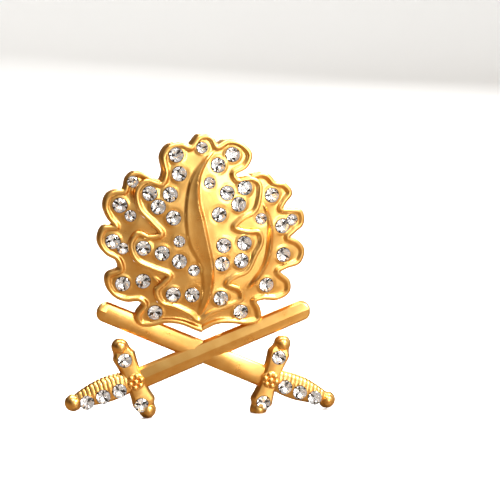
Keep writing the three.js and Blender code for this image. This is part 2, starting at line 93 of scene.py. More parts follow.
DISC_Y = 1.7  # underside of the clutch
RIM_MIDDLE = 5.42  # radius to the middle of the clutch's rolled rim
RIM_ROLL = 0.45
RIM_Y = 2.35
PIVOT_X = 1.9  # the pins that the wings turn on
PIVOT_Y = 4.3
WING_TILT = math.radians(27)

CENTRE_LEAF = [
    (-1.3, 10.0), (-2.3, 10.3), (-3.4, 10.0), (-4.0, 9.1), (-3.8, 7.5), (-4.3, 6.5), (-5.8, 6.8),
    (-6.7, 5.8), (-6.5, 4.2), (-5.3, 2.8), (-4.4, 1.6), (-5.6, 1.3), (-6.7, 1.7), (-7.4, 0.6),
    (-6.8, -1.0), (-5.3, -1.8), (-3.6, -2.6), (-4.3, -3.4), (-4.9, -4.1), (-4.4, -5.3), (-3.0, -5.8),
    (-1.5, -6.6), (-0.6, -7.3), (0.6, -6.5), (2.2, -5.9), (3.7, -5.2), (3.5, -4.3), (2.2, -3.6),
    (3.0, -2.9), (4.2, -2.4), (5.0, -0.9), (5.7, 0.6), (5.4, 1.5), (4.2, 1.6), (2.9, 2.1),
    (3.7, 2.9), (5.0, 3.6), (5.5, 4.9), (5.5, 6.3), (4.7, 6.8), (3.3, 6.7), (2.9, 7.4),
    (4.1, 8.1), (4.6, 9.2), (3.7, 10.2), (2.5, 10.5), (1.3, 10.0), (0.7, 10.9), (-0.3, 11.0),
]
LEFT_LEAF = [
    (-5.2, 6.9), (-6.6, 7.5), (-7.4, 7.0), (-7.8, 5.8), (-8.6, 5.7), (-9.4, 5.3), (-9.7, 4.3),
    (-9.3, 3.2), (-8.7, 2.3), (-9.9, 2.1), (-10.3, 0.9), (-9.7, -0.2), (-8.6, -0.9), (-8.3, -2.0),
    (-9.5, -2.6), (-9.5, -3.6), (-8.9, -4.5), (-7.8, -5.0), (-6.5, -5.0), (-5.9, -5.6), (-6.6, -6.7),
    (-6.3, -7.5), (-5.2, -7.6), (-3.9, -7.3), (-2.3, -7.5), (-0.9, -8.1), (0.3, -8.6), (1.9, -9.0),
    (2.4, -6.0), (0.5, -3.0), (-1.5, 2.0), (-2.5, 5.5),
]
RIGHT_LEAF = [
    (5.4, 7.1), (6.4, 7.0), (7.2, 6.2), (8.2, 6.0), (8.8, 5.2), (8.2, 4.4), (7.8, 3.6),
    (9.0, 3.4), (9.9, 3.2), (10.0, 2.1), (9.2, 1.4), (8.5, 0.7), (9.6, 0.1), (10.1, -0.7),
    (9.7, -1.8), (8.4, -2.2), (7.5, -2.7), (8.6, -3.8), (8.6, -4.8), (7.5, -5.4), (6.0, -5.3),
    (5.1, -5.6), (5.5, -6.4), (5.6, -7.5), (4.5, -7.8), (2.9, -7.6), (1.3, -7.6), (-0.1, -8.2),
    (-1.6, -8.9), (-2.6, -6.0), (-1.0, -3.0), (1.0, 2.0), (3.0, 5.5),
]
# ribs as rows from top to bottom: z, left foot, crest, right foot
CENTRE_RIB = [
    (9.9, 1.05, 1.2, 1.4), (8.6, -0.4, 0.0, 0.3), (7.0, -1.5, -0.75, -0.4), (5.0, -2.0, -0.85, -0.5),
    (2.7, -2.1, -0.35, 0.0), (0.5, -1.75, 0.1, 0.45), (-1.3, -0.85, 0.45, 0.8), (-3.0, -0.45, 0.5, 0.85),
    (-4.6, -0.45, 0.3, 0.6), (-5.8, -0.7, -0.1, 0.15), (-6.9, -0.75, -0.6, -0.5),
]
LEFT_RIBS = [
    [(6.3, -7.3, -7.1, -6.9), (5.6, -7.35, -7.15, -6.95), (4.6, -7.1, -6.85, -6.65)],
    [(-2.6, -5.6, -5.2, -4.9), (-3.6, -4.9, -4.4, -4.1), (-4.4, -4.3, -3.8, -3.5)],
]
RIGHT_RIB = [
    (4.4, 5.75, 5.95, 6.15), (2.6, 6.35, 6.6, 6.85), (0.4, 6.3, 6.7, 7.0), (-1.8, 5.85, 6.25, 6.55),
    (-3.4, 4.8, 5.2, 5.5), (-4.5, 4.0, 4.3, 4.55),
]

CENTRE_STONES = [
    (-2.8, 9.35, "big"), (-0.2, 10.0, "small"), (-2.55, 7.5, "big"), (2.85, 9.25, "big"),
    (1.35, 8.25, "big"), (0.45, 6.55, "small"), (-5.5, 5.65, "big"), (-3.5, 5.5, "big"),
    (-4.7, 4.3, "big"), (-3.2, 3.2, "big"), (2.2, 5.5, "big"), (4.0, 5.95, "big"),
    (3.35, 4.35, "big"), (1.35, 3.4, "big"), (-6.2, 0.25, "big"), (-4.35, -0.3, "big"),
    (-2.65, 0.85, "small"), (-2.65, -1.15, "big"), (-1.2, -2.1, "small"), (1.8, 0.3, "big"),
    (3.9, 0.45, "big"), (1.65, -1.55, "big"), (3.6, -1.3, "big"), (-3.25, -4.5, "big"),
    (-1.35, -4.6, "big"), (1.55, -5.05, "big"),
]
LEFT_STONES = [
    (-7.05, 6.75, "small"), (-8.35, 4.45, "big"), (-7.35, 3.4, "small"), (-8.15, -3.4, "big"),
    (-6.15, -3.15, "big"), (-4.95, -6.4, "big"),
]
LEFT_PAIR = [(-9.08, 0.87, "big"), (-8.12, 0.17, "small")]
RIGHT_STONES = [
    (6.9, 5.05, "big"), (5.75, 2.75, "small"), (8.1, -1.0, "big"), (6.35, -4.0, "big"),
    (3.75, -6.65, "big"),
]
RIGHT_PAIR = [(7.97, 1.93, "big"), (9.0, 2.49, "small")]
# side is +1 with the hilt at the left; stones are (towards the pommel, up the guard)
FRONT_SWORD = {
    "side": 1, "height": -13.45, "lean": math.radians(22.6), "blade_rise": math.radians(20.7),
    "grip_rise": math.radians(17.6), "guard": [(0.15, 2.5), (0.4, -2.42)],
    "grip": [(1.83, -0.26), (3.55, -0.26), (5.25, -0.26)],
}
REAR_SWORD = {
    "side": -1, "height": -13.9, "lean": math.radians(20.3), "blade_rise": math.radians(24.4),
    "grip_rise": math.radians(22.2), "guard": [(0.0, 2.45), (0.08, -2.42)],
    "grip": [(1.64, -0.15), (3.3, -0.15), (4.98, -0.15)],
}


# ---- shader groups ----
def set_inputs(node, **values):
    """Sets a node's inputs by name, with _ for a space."""
    for label, value in values.items():
        node.inputs[label.replace("_", " ")].default_value = value
    return node


def wire(tree, *joins):
    """Links nodes, each row being a node, its output, the next node and its input."""
    for source, output, target, entry in joins:
        tree.links.new(source.outputs[output], target.inputs[entry])


def new_group(name, inputs, outputs):
    tree = bpy.data.node_groups.new(name, "ShaderNodeTree")
    for label, default in inputs:
        socket = tree.interface.new_socket(label, in_out="INPUT", socket_type="NodeSocketFloat")
        socket.default_value = default
    for label in outputs:
        tree.interface.new_socket(label, in_out="OUTPUT", socket_type="NodeSocketFloat")
    return tree, tree.nodes.new("NodeGroupInput"), tree.nodes.new("NodeGroupOutput")


def make_grain_group():
    """Two sizes of fine noise on the piece's own coordinates, as a height and a roughness mask."""
    tree, inside, outside = new_group(
        "blasted grain",
        [("Fine Scale", 9000.0), ("Broad Scale", 900.0), ("Broad Share", 0.35)],
        ["Height", "Mask"],
    )
    place = tree.nodes.new("ShaderNodeTexCoord")
    fine = set_inputs(tree.nodes.new("ShaderNodeTexNoise"), Detail=3.0)
    broad = set_inputs(tree.nodes.new("ShaderNodeTexNoise"), Detail=4.0)
    mix = tree.nodes.new("ShaderNodeMix")
    wire(tree,
         (place, "Object", fine, "Vector"),
         (place, "Object", broad, "Vector"),
         (inside, "Fine Scale", fine, "Scale"),
         (inside, "Broad Scale", broad, "Scale"),
         (inside, "Broad Share", mix, "Factor"),
         (fine, "Fac", mix, "A"),
         (broad, "Fac", mix, "B"),
         (mix, "Result", outside, "Height"),
         (broad, "Fac", outside, "Mask"))
    return tree


def make_brush_group():
    """Long fine scratches along one direction."""
    tree, inside, outside = new_group("brush marks", [("Scale", 1.0)], ["Height"])
    place = tree.nodes.new("ShaderNodeTexCoord")
    stretch = set_inputs(tree.nodes.new("ShaderNodeMapping"),
                         Rotation=(0.0, math.radians(24), 0.0), Scale=(700.0, 4000.0, 9000.0))
    noise = set_inputs(tree.nodes.new("ShaderNodeTexNoise"), Detail=3.0)
    wire(tree,
         (place, "Object", stretch, "Vector"),
         (stretch, "Vector", noise, "Vector"),
         (inside, "Scale", noise, "Scale"),
         (noise, "Fac", outside, "Height"))
    return tree


GRAIN = make_grain_group()
BRUSH = make_brush_group()


# ---- materials ----
def new_material(name):
    material = bpy.data.materials.new(name)
    material.use_nodes = True
    nodes = material.node_tree.nodes
    return material, nodes, material.node_tree.links, nodes["Principled BSDF"]


def add_group(nodes, tree, **values):
    node = nodes.new("ShaderNodeGroup")
    node.node_tree = tree
    return set_inputs(node, **values)


def add_grain(nodes, fine, broad, share):
    return add_group(nodes, GRAIN, Fine_Scale=fine, Broad_Scale=broad, Broad_Share=share)


def colour_between(nodes, links, factor, first, second):
    mix = nodes.new("ShaderNodeMix")
    mix.data_type = "RGBA"
    mix.inputs[6].default_value = (*first, 1.0)
    mix.inputs[7].default_value = (*second, 1.0)
    links.new(factor, mix.inputs[0])
    return mix.outputs[2]


def spread(nodes, links, value, low, high):
    """Stretches the middle of a noise over a range."""
    node = set_inputs(nodes.new("ShaderNodeMapRange"),
                      From_Min=0.3, From_Max=0.7, To_Min=low, To_Max=high)
    links.new(value, node.inputs["Value"])
    return node.outputs["Result"]


def tint(nodes, links, grain, shader, colours):
    """A base colour that drifts between two tints over the surface."""
    share = spread(nodes, links, grain.outputs["Mask"], 0.0, 1.0)
    colour = colour_between(nodes, links, share, *colours)
    links.new(colour, shader.inputs["Base Color"])
    return colour


def gloss(nodes, links, value, shader, low, high):
    links.new(spread(nodes, links, value, low, high), shader.inputs["Roughness"])


def gold(name, grain_sizes, colours, rough, strength, depth, brushed=False):
    """Gilt metal with a fine grain, or brush marks, in its gloss and its surface."""
    material, nodes, links, shader = new_material(name)
    set_inputs(shader, Metallic=1.0)
    grain = add_grain(nodes, *grain_sizes)
    tint(nodes, links, grain, shader, colours)
    marks = add_group(nodes, BRUSH) if brushed else grain
    gloss(nodes, links, marks.outputs["Height" if brushed else "Mask"], shader, *rough)
    bump = set_inputs(nodes.new("ShaderNodeBump"), Strength=strength, Distance=depth * MM)
    links.new(marks.outputs["Height"], bump.inputs["Height"])
    links.new(bump.outputs["Normal"], shader.inputs["Normal"])
    return material


def crystal():
    material, nodes, links, shader = new_material("clear crystal")
    set_inputs(shader, Metallic=0.0, Transmission_Weight=1.0, IOR=1.6)
    grain = add_grain(nodes, 2000.0, 600.0, 0.5)
    gloss(nodes, links, grain.outputs["Mask"], shader, 0.0, 0.02)
    tint(nodes, links, grain, shader, [(0.97, 0.97, 0.98), (1.0, 1.0, 1.0)])
    return material


def silver_foil(name, colours, glow):
    """Mirror backing of a stone; the glow stands for light gathered from all round."""
    material, nodes, links, shader = new_material(name)
    set_inputs(shader, Metallic=1.0, Emission_Strength=glow)
    grain = add_grain(nodes, 4000.0, 1500.0, 0.5)
    colour = tint(nodes, links, grain, shader, colours)
    links.new(colour, shader.inputs["Emission Color"])
    gloss(nodes, links, grain.outputs["Mask"], shader, 0.08, 0.16)
    return material


SATIN = gold("satin gold", (9000.0, 700.0, 0.3), [(0.90, 0.47, 0.12), (0.965, 0.58, 0.185)],
             (0.27, 0.34), 0.25, 0.02)
BRUSHED = gold("brushed gold", (9000.0, 500.0, 0.3), [(0.88, 0.46, 0.12), (0.95, 0.55, 0.17)],
               (0.24, 0.38), 0.35, 0.015, True)
POLISHED = gold("polished gold", (3000.0, 400.0, 0.7), [(0.92, 0.58, 0.17), (0.96, 0.66, 0.24)],
                (0.07, 0.13), 0.1, 0.02)
CRYSTAL = crystal()
FOIL = silver_foil("silver foil", [(0.93, 0.92, 0.91), (0.99, 0.98, 0.97)], 0.23)
# silver foil painted near black: painted reflections of dark surroundings, for the dark facets and the
# dark ring round each stone
FOIL_PAINTED_DARK_REFLECTION = silver_foil("foil with painted dark reflections", [(0.05, 0.04, 0.035), (0.13, 0.11, 0.10)], 0.0)


# ---- mesh helpers ----
def add_object(name, data):
    obj = bpy.data.objects.new(name, data)
    bpy.context.scene.collection.objects.link(obj)
    return obj


def new_mesh(name, points, faces, materials):
    """A mesh from points in millimetres."""
    mesh = bpy.data.meshes.new(name)
    mesh.from_pydata([tuple(c * MM for c in p) for p in points], [], [tuple(f) for f in faces])
    for material in materials:
        mesh.materials.append(material)
    return mesh


def finish_mesh(mesh, smooth_below):
    """Smooth shading, with sharp edges where faces turn more than an angle."""
    mesh.validate()
    mesh.shade_smooth()
    mesh.set_sharp_from_angle(angle=math.radians(smooth_below))
    mesh.update()


def new_piece(name, points, faces, material, smooth_below=35):
    mesh = new_mesh(name, points, faces, [material])
    finish_mesh(mesh, smooth_below)
    return add_object(name, mesh)


def outward(points, faces):
    """Faces of a closed skin, all turned outwards."""
    volume = 0.0
    for face in faces:
        a = points[face[0]]
        for i in range(1, len(face) - 1):
            volume += float(np.dot(a, np.cross(points[face[i]], points[face[i + 1]])))
    return faces if volume > 0 else [tuple(reversed(f)) for f in faces]


def placed(points, matrix):
    return [tuple(matrix @ Vector(p)) for p in points]


def shell(points, faces, matrix=None):
    """A closed skin turned outwards, moved into place."""
    if matrix is not None:
        points = placed(points, matrix)
    points = [np.array(p, dtype=float) for p in points]
    return points, outward(points, faces)


def joined(shells):
    points, faces = [], []
    for more_points, more_faces in shells:
        start = len(points)
        points.extend(more_points)
        faces.extend(tuple(i + start for i in f) for f in more_faces)
    return points, faces


def loft(rings, matrix=None):
    n = len(rings[0])
    points = [p for ring in rings for p in ring]
    faces = []
    for i in range(len(rings) - 1):
        for j in range(n):
            a, b = i * n + j, i * n + (j + 1) % n
            faces.append((a, b, b + n, a + n))
    last = (len(rings) - 1) * n
    faces.append(tuple(reversed(range(n))))
    faces.append(tuple(range(last, last + n)))
    return shell(points, faces, matrix)


def turned(profile, segments, matrix=None):
    """A skin of revolution about Y; the profile is (radius, y), ending on the axis or closed."""
    points, faces, rows = [], [], []
    for r, y in profile:
        if r < 1e-6:
            rows.append([len(points)] * segments)
            points.append((0.0, y, 0.0))
        else:
            rows.append(list(range(len(points), len(points) + segments)))
            for k in range(segments):
                a = 2 * math.pi * k / segments
                points.append((r * math.cos(a), y, r * math.sin(a)))
    pairs = list(zip(rows, rows[1:]))
    if profile[0][0] > 1e-6:
        pairs.append((rows[-1], rows[0]))
    for upper, lower in pairs:
        for k in range(segments):
            n = (k + 1) % segments
            face = [upper[k], upper[n], lower[n], lower[k]]
            face = [v for i, v in enumerate(face) if v != face[i - 1]]
            if len(face) > 2:
                faces.append(tuple(face))
    return shell(points, faces, matrix)


def sphere(centre, radius, squash, rows=14, segments=28):
    profile = []
    for i in range(rows + 1):
        a = math.pi * i / rows
        profile.append((radius * math.sin(a), -radius * squash * math.cos(a)))
    profile[0] = (0.0, profile[0][1])
    profile[-1] = (0.0, profile[-1][1])
    return turned(profile, segments, Matrix.Translation(Vector(centre)))


# ---- smooth outlines and distances ----
def smooth_curve(points, closed):
    """Smooth curve through the points, without loops or overshoot, in six steps from one to the next."""
    pts = [np.array(p, dtype=float) for p in points]
    n = len(pts)
    if closed:
        row = [pts[(i - 1) % n] for i in range(n + 3)]
    else:
        row = [2 * pts[0] - pts[1], *pts, 2 * pts[-1] - pts[-2]]
    out = []
    for p0, p1, p2, p3 in zip(row, row[1:], row[2:], row[3:]):
        t0 = 0.0
        t1 = t0 + np.linalg.norm(p1 - p0) ** 0.5
        t2 = t1 + np.linalg.norm(p2 - p1) ** 0.5
        t3 = t2 + np.linalg.norm(p3 - p2) ** 0.5
        for t in np.linspace(t1, t2, 6, endpoint=False):
            a1 = (t1 - t) / (t1 - t0) * p0 + (t - t0) / (t1 - t0) * p1
            a2 = (t2 - t) / (t2 - t1) * p1 + (t - t1) / (t2 - t1) * p2
            a3 = (t3 - t) / (t3 - t2) * p2 + (t - t2) / (t3 - t2) * p3
            b1 = (t2 - t) / (t2 - t0) * a1 + (t - t0) / (t2 - t0) * a2
            b2 = (t3 - t) / (t3 - t1) * a2 + (t - t1) / (t3 - t1) * a3
            out.append((t2 - t) / (t2 - t1) * b1 + (t - t1) / (t2 - t1) * b2)
    if not closed:
        out.append(pts[-1])
    return np.array(out)


def inside_distance(loop, x, z):
    """Distance to a closed outline, positive inside."""
    nearest = np.full(x.shape, 1e9)
    inside = np.zeros(x.shape, dtype=bool)
    for a, b in zip(loop, np.roll(loop, -1, axis=0)):
        d = b - a
        t = np.clip(((x - a[0]) * d[0] + (z - a[1]) * d[1]) / (d @ d), 0, 1)
        nearest = np.minimum(nearest, np.hypot(x - a[0] - t * d[0], z - a[1] - t * d[1]))
        if a[1] != b[1]:
            crosses = (a[1] > z) != (b[1] > z)
            inside ^= crosses & (x < a[0] + (z - a[1]) * d[0] / d[1])
    return np.where(inside, nearest, -nearest)


def smoothstep(value):
    v = np.clip(value, 0, 1)
    return v * v * (3 - 2 * v)


# ---- leaves ----
def dome_at(x, z):
    """1 at the dome's middle, falling to 0 all round."""
    return np.maximum(0.0, 1 - (x / DOME_X) ** 2 - ((z - DOME_MIDDLE) / DOME_Z) ** 2)


def front_at(x, z, raised):
    """Height of a leaf's plain face, before its edge, ribs and seats."""
    return EDGE_HEIGHT + DOME * dome_at(x, z) + raised


def rib_edge(rows, column, z):
    """One edge of a rib as a smooth curve over z."""
    curve = smooth_curve([(row[0], row[column]) for row in rows], False)
    return np.interp(z, curve[:, 0], curve[:, 1])


def rib_height(rib, x, z, height):
    """A steep left foot, a broad rising face, a crest and a short right slope, tapered at both ends."""
    rows = rib[::-1]
    left, crest, right = (rib_edge(rows, column, z) for column in (1, 2, 3))
    across = np.clip((x - left) / (crest - left), 0, 1)
    up = 0.5 * smoothstep((x - left) / 0.24) + 0.5 * across ** 2.2
    down = smoothstep((right - x) / (right - crest))
    fade = min(1.1, 0.35 * (rows[-1][0] - rows[0][0]))
    ends = smoothstep((rows[-1][0] - z) / fade) * smoothstep((z - rows[0][0]) / fade)
    return height * np.minimum(up, down) * ends


class Grid:
    """The leaves' grid, with the distance to each outline worked out once."""

    def __init__(self):
        self.xs = np.arange(-11.2, 11.2, CELL)
        self.zs = np.arange(-9.8, 12.0, CELL)
        self.x, self.z = np.meshgrid(self.xs, self.zs, indexing="ij")
        centre = smooth_curve(CENTRE_LEAF, True)
        left = smooth_curve(LEFT_LEAF, True)
        right = smooth_curve(RIGHT_LEAF, True)
        self.centre = inside_distance(centre, self.x, self.z) + EDGE
        self.left = inside_distance(left, self.x, self.z) + EDGE
        self.right = inside_distance(right, self.x, self.z) + EDGE
        self.outer = np.maximum(self.centre, np.maximum(self.left, self.right))

    def back(self):
        wall = smoothstep((self.outer - RIM) / 0.9)
        return HOLLOW * dome_at(self.x, self.z) * wall


def cut_cells(field):
    """Polygons covering field > 0 over shared vertices: faces of vertex keys, and border edges."""
    inside = field > 0
    faces, border = [], []
    some = inside[:-1, :-1] | inside[1:, :-1] | inside[1:, 1:] | inside[:-1, 1:]
    for i, j in np.argwhere(some):
        corners = [(i, j), (i + 1, j), (i + 1, j + 1), (i, j + 1)]
        polygon = []
        for c, d in zip(corners, corners[1:] + corners[:1]):
            if inside[c]:
                polygon.append((c, False))
            if inside[c] != inside[d]:
                polygon.append(((min(c, d), max(c, d)), True))
        for p, q in zip(polygon, polygon[1:] + polygon[:1]):
            if p[1] and q[1]:
                border.append((p[0], q[0]))
        faces.append([p[0] for p in polygon])
    return faces, border


def key_place(field, key):
    """Where a vertex lies: at a corner, or a share of the way between two corners."""
    if isinstance(key[0], tuple):
        a, b = field[key[0]], field[key[1]]
        t = min(0.93, max(0.07, a / (a - b)))
        return key[0], key[1], t
    return key, key, 0.0


def blend_at(values, place):
    a, b, t = place
    return values[a] + t * (values[b] - values[a])


def leaf_skins(grid, field, front, back, seats):
    """A closed leaf: front with round seats, back, outer wall, and the seats' walls and floors."""
    holes = np.full(field.shape, 1e9)
    floor = np.zeros(field.shape)
    for x0, z0, radius, level in seats:
        away = np.hypot(grid.x - x0, grid.z - z0) - radius - SEAT_CLEAR
        floor = np.where(away < 0.3, level - PAVILION * radius - 0.1, floor)
        holes = np.minimum(holes, away)
    top = np.minimum(field, holes)
    bottom_of_seat = np.minimum(field, -holes)
    points, faces, ids = [], [], {}

    def vertex(kind, key, source, heights):
        name = (kind, key)
        if name not in ids:
            place = key_place(source, key)
            ids[name] = len(points)
            px, pz, h = (blend_at(v, place) for v in (grid.x, grid.z, heights))
            points.append((px, -h, pz))
        return ids[name]

    top_faces, top_border = cut_cells(top)
    for polygon in top_faces:
        faces.append(tuple(vertex("top", k, top, front) for k in polygon))
    for polygon in cut_cells(field)[0]:
        faces.append(tuple(vertex("back", k, field, back) for k in reversed(polygon)))
    for polygon in cut_cells(bottom_of_seat)[0]:
        faces.append(tuple(vertex("seat", k, bottom_of_seat, floor) for k in polygon))
    for a, b in top_border:
        kind = "seat" if ("seat", a) in ids and ("seat", b) in ids else "back"
        lower = [ids.get((kind, k)) for k in (a, b)]
        if None not in lower:
            faces.append((ids[("top", b)], ids[("top", a)], lower[0], lower[1]))
    return points, faces


def leaf_front(grid, own, raised, ribs, seats):
    """Height of a leaf's face: dome, rounded edge along its own outline, shallow dish and ribs."""
    base = front_at(grid.x, grid.z, raised)
    bead = BEAD * np.clip(1 - ((own - EDGE) / 0.29) ** 2, 0, 1) ** 0.6
    dish = -DISH * smoothstep((own - EDGE) / 0.5) * (1 - smoothstep((own - 0.8) / 1.7))
    height = base + bead + dish
    for rib, rib_top in ribs:
        height = height + rib_height(rib, grid.x, grid.z, rib_top)
    for x0, z0, radius, _ in seats:
        away = np.hypot(grid.x - x0, grid.z - z0) - radius
        near = 1 - smoothstep((away - 0.03) / 0.28)
        seat_plane = base - 0.03
        keep = (own < EDGE + 0.2) & (height > seat_plane)
        height = np.where(keep, height, height * (1 - near) + seat_plane * near)
    return height


def seats_of(stones, raised):
    return [(x, z, STONE[size], float(front_at(x, z, raised))) for x, z, size in stones]


def make_leaf(name, node, grid, own, field, raised, stones, ribs):
    seats = seats_of(stones, raised)
    front = leaf_front(grid, own, raised, ribs, seats)
    points, faces = leaf_skins(grid, field, front, grid.back(), seats)
    mesh = new_mesh(name, points, faces, [SATIN, BRUSHED])
    mesh.validate()
    slots = [1 if p.normal.y > 0.3 else 0 for p in mesh.polygons]
    mesh.polygons.foreach_set("material_index", slots)
    finish_mesh(mesh, 50)
    obj = add_object(name, mesh)
    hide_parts(node)
    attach(obj, "badge")


def make_leaves():
    grid = Grid()
    centre = grid.centre
    left = np.minimum(np.minimum(grid.left, -centre - GAP), SPLIT_X - GAP / 2 - grid.x)
    right = np.minimum(np.minimum(grid.right, -centre - GAP), grid.x - SPLIT_X - GAP / 2)
    make_leaf("centre_leaf_relief", "centre_leaf", grid, centre, centre, CENTRE_STEP,
              CENTRE_STONES, [(CENTRE_RIB, 0.42)])
    make_leaf("left_leaf_relief", "left_leaf", grid, grid.left, left, 0.0,
              LEFT_STONES + LEFT_PAIR, [(rib, 0.26) for rib in LEFT_RIBS])
    make_leaf("right_leaf_relief", "right_leaf", grid, grid.right, right, 0.0,
              RIGHT_STONES + RIGHT_PAIR, [(RIGHT_RIB, 0.35)])


# ---- stones ----
def ring_of(radius, y, count, turn):
    return [(radius * math.cos(2 * math.pi * (k + turn) / count), y,
             radius * math.sin(2 * math.pi * (k + turn) / count)) for k in range(count)]


def brilliant(radius):
    """Table, stars, kites, upper halves, girdle, lower halves and mains; the front is -Y.
    Returns points, faces and a slot for each face: 0 crystal, 1 bright foil with a painted glow, 2 foil
    painted near black as painted dark reflections."""
    r = radius
    table = ring_of(0.5 * r, -0.40 * r, 8, 0)
    kite = ring_of(0.74 * r, -0.26 * r, 8, 0.5)
    edge = ring_of(0.945 * r, -0.09 * r, 16, 0)
    lower = ring_of(r, 0.0, 16, 0)
    mains = ring_of(0.42 * r, 0.40 * r, 8, 0.5)
    points = table + kite + edge + lower + mains + [(0.0, PAVILION * r, 0.0)]
    t, k, g, m, tip = 0, 8, 16, 48, 56  # where each ring starts in points
    faces, slots = [tuple(range(8))], [0]
    for i in range(8):
        n, p = (i + 1) % 8, (i - 1) % 8
        a, b, c = g + 2 * i, g + 2 * i + 1, g + (2 * i + 2) % 16
        crown = [(t + i, t + n, k + i), (t + i, k + i, a, k + p), (k + i, b, a), (k + i, c, b)]
        faces += crown
        slots += [0] * len(crown)
        band = [(a, b, b + 16, a + 16), (b, c, c + 16, b + 16)]
        faces += band
        # girdle band in the foil painted near black: a painted dark reflection ringing the stone
        slots += [2, 2]
        below = [(a + 16, b + 16, m + i), (b + 16, c + 16, m + i), (a + 16, m + i, tip, m + p)]
        faces += below
        # some lower facets in the foil painted near black: painted dark reflections
        slots += [2 if i in (1, 4, 6) else 1, 1, 2 if i in (2, 5) else 1]
    return points, faces, slots


def tilt_on_dome(x, z):
    """Turns a stone to stand square on the dome."""
    slope_x = -2 * DOME * x / DOME_X ** 2
    slope_z = -2 * DOME * (z - DOME_MIDDLE) / DOME_Z ** 2
    out = Vector((-slope_x, -1.0, -slope_z)).normalized()
    return Vector((0, -1, 0)).rotation_difference(out).to_matrix().to_4x4()


def make_stone(name, node, radius, matrix):
    points, faces, slots = brilliant(radius)
    points = placed(points, matrix)
    mesh = new_mesh(name, points, faces, [CRYSTAL, FOIL, FOIL_PAINTED_DARK_REFLECTION])
    mesh.polygons.foreach_set("material_index", slots)
    work = bmesh.new()
    work.from_mesh(mesh)
    bmesh.ops.recalc_face_normals(work, faces=work.faces)
    work.to_mesh(mesh)
    work.free()
    mesh.shade_flat()
    obj = add_object(name, mesh)
    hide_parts(node)
    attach(obj, "badge")


def leaf_stone(name, node, stone, raised, count):
    x, z, size = stone
    spin = Matrix.Rotation(count * STONE_SPIN, 4, "Y")
    place = Matrix.Translation((x, -float(front_at(x, z, raised)), z)) @ tilt_on_dome(x, z) @ spin
    make_stone(name, node, STONE[size], place)


def make_leaf_stones():
    for title, stones, raised in (("centre", CENTRE_STONES, CENTRE_STEP), ("left", LEFT_STONES, 0.0),
                                  ("right", RIGHT_STONES, 0.0)):
        for i, stone in enumerate(stones, 1):
            leaf_stone(f"{title}_crystal_{i}", f"{title}_stone_{i}", stone, raised, i)
    for title, pair in (("left", LEFT_PAIR), ("right", RIGHT_PAIR)):
        for i, stone in enumerate(pair, 1):
            leaf_stone(f"{title}_pair_crystal_{i}", f"{title}_stone_pair", stone, 0.0, i)


# ---- swords: rosette at the origin, blade along +X, pommel along -X ----
def sword_place(kind):
    """From a sword's own frame to the badge's; the rear sword is mirrored."""
    turn = Matrix.Rotation(-kind["lean"], 4, "Y")
    flip = Matrix.Scale(kind["side"], 4, (1, 0, 0))
    place = Matrix.Translation((MIDDLE_X - kind["side"] * HILT_X, SWORD_Y, kind["height"]))
    return place @ flip @ turn


def grip_turn(kind):
    return Matrix.Rotation(kind["lean"] - kind["grip_rise"], 4, "Y")


def blade_turn(kind):
    return Matrix.Rotation(kind["lean"] - kind["blade_rise"], 4, "Y")


def blade_ring(x, half, rise):
    """The blade's section: a thin edge, a bevel, and a low ridge along the middle of each face."""
    edge = max(0.03, half - 0.24)
    thin, bevel, ridge = 0.1 * rise, 0.40 * rise, 0.66 * rise
    near = [(-thin, half), (-bevel, edge), (-ridge, 0.0), (-bevel, -edge), (-thin, -half)]
    section = [(thin, half)] + near + [(thin, -half), (bevel, -edge), (ridge, 0.0), (bevel, edge)]
    return [(x, y, z) for y, z in section]


def blade_half(x):
    """Half the blade's width, slightly less towards the point."""
    return 1.12 - 0.08 * x / BLADE_LENGTH


def blade(start, thick, end=None):
    """From start to the rounded point, or cut square at end."""
    first = blade_ring(start, blade_half(start), thick)
    if end is not None:
        return loft([first, blade_ring(end, blade_half(end), thick)])
    shoulder = BLADE_LENGTH - BLADE_POINT
    rings = [first, blade_ring(shoulder, blade_half(shoulder), thick)]
    for angle in (12, 24, 36, 48, 58, 67, 75, 81):
        a = math.radians(angle)
        half = blade_half(shoulder) * math.cos(a)
        rise = thick * min(1.0, 0.35 + half)
        rings.append(blade_ring(shoulder + BLADE_POINT * math.sin(a), half, rise))
    return loft(rings)


def guard_arm(direction, reach):
    """One arm of the guard: sloping walls up to a narrower flat face, and rounded shoulders."""
    stations = [(0.0, 0.98), (0.2, 0.98), (0.38, 1.02), (0.55, 1.1), (0.66, 1.17), (0.72, 1.19),
                (0.77, 1.15), (0.81, 1.06), (0.85, 0.97), (0.9, 0.9), (0.96, 0.88), (1.03, 0.84),
                (1.1, 0.72), (1.15, 0.55)]
    rings, slope = [], 0.3
    for t, half in stations:
        deep = 0.72 if t < 0.75 else max(0.42, 0.72 - (t - 0.75) * 1.8)
        outline = [(-half, 0.1), (-half, -0.1), (-half + slope, -deep), (half - slope, -deep),
                   (half, -0.1), (half, 0.1), (half - slope, deep), (-half + slope, deep)]
        rings.append([(x, y, direction * t * reach) for x, y in outline])
    return loft(rings)


def grip_half(t):
    """Half the grip's height: full at the guard, fullest before the middle, slim at the pommel."""
    return 0.66 + 0.42 * (1 - t) + 0.40 * math.sin(math.pi * t)


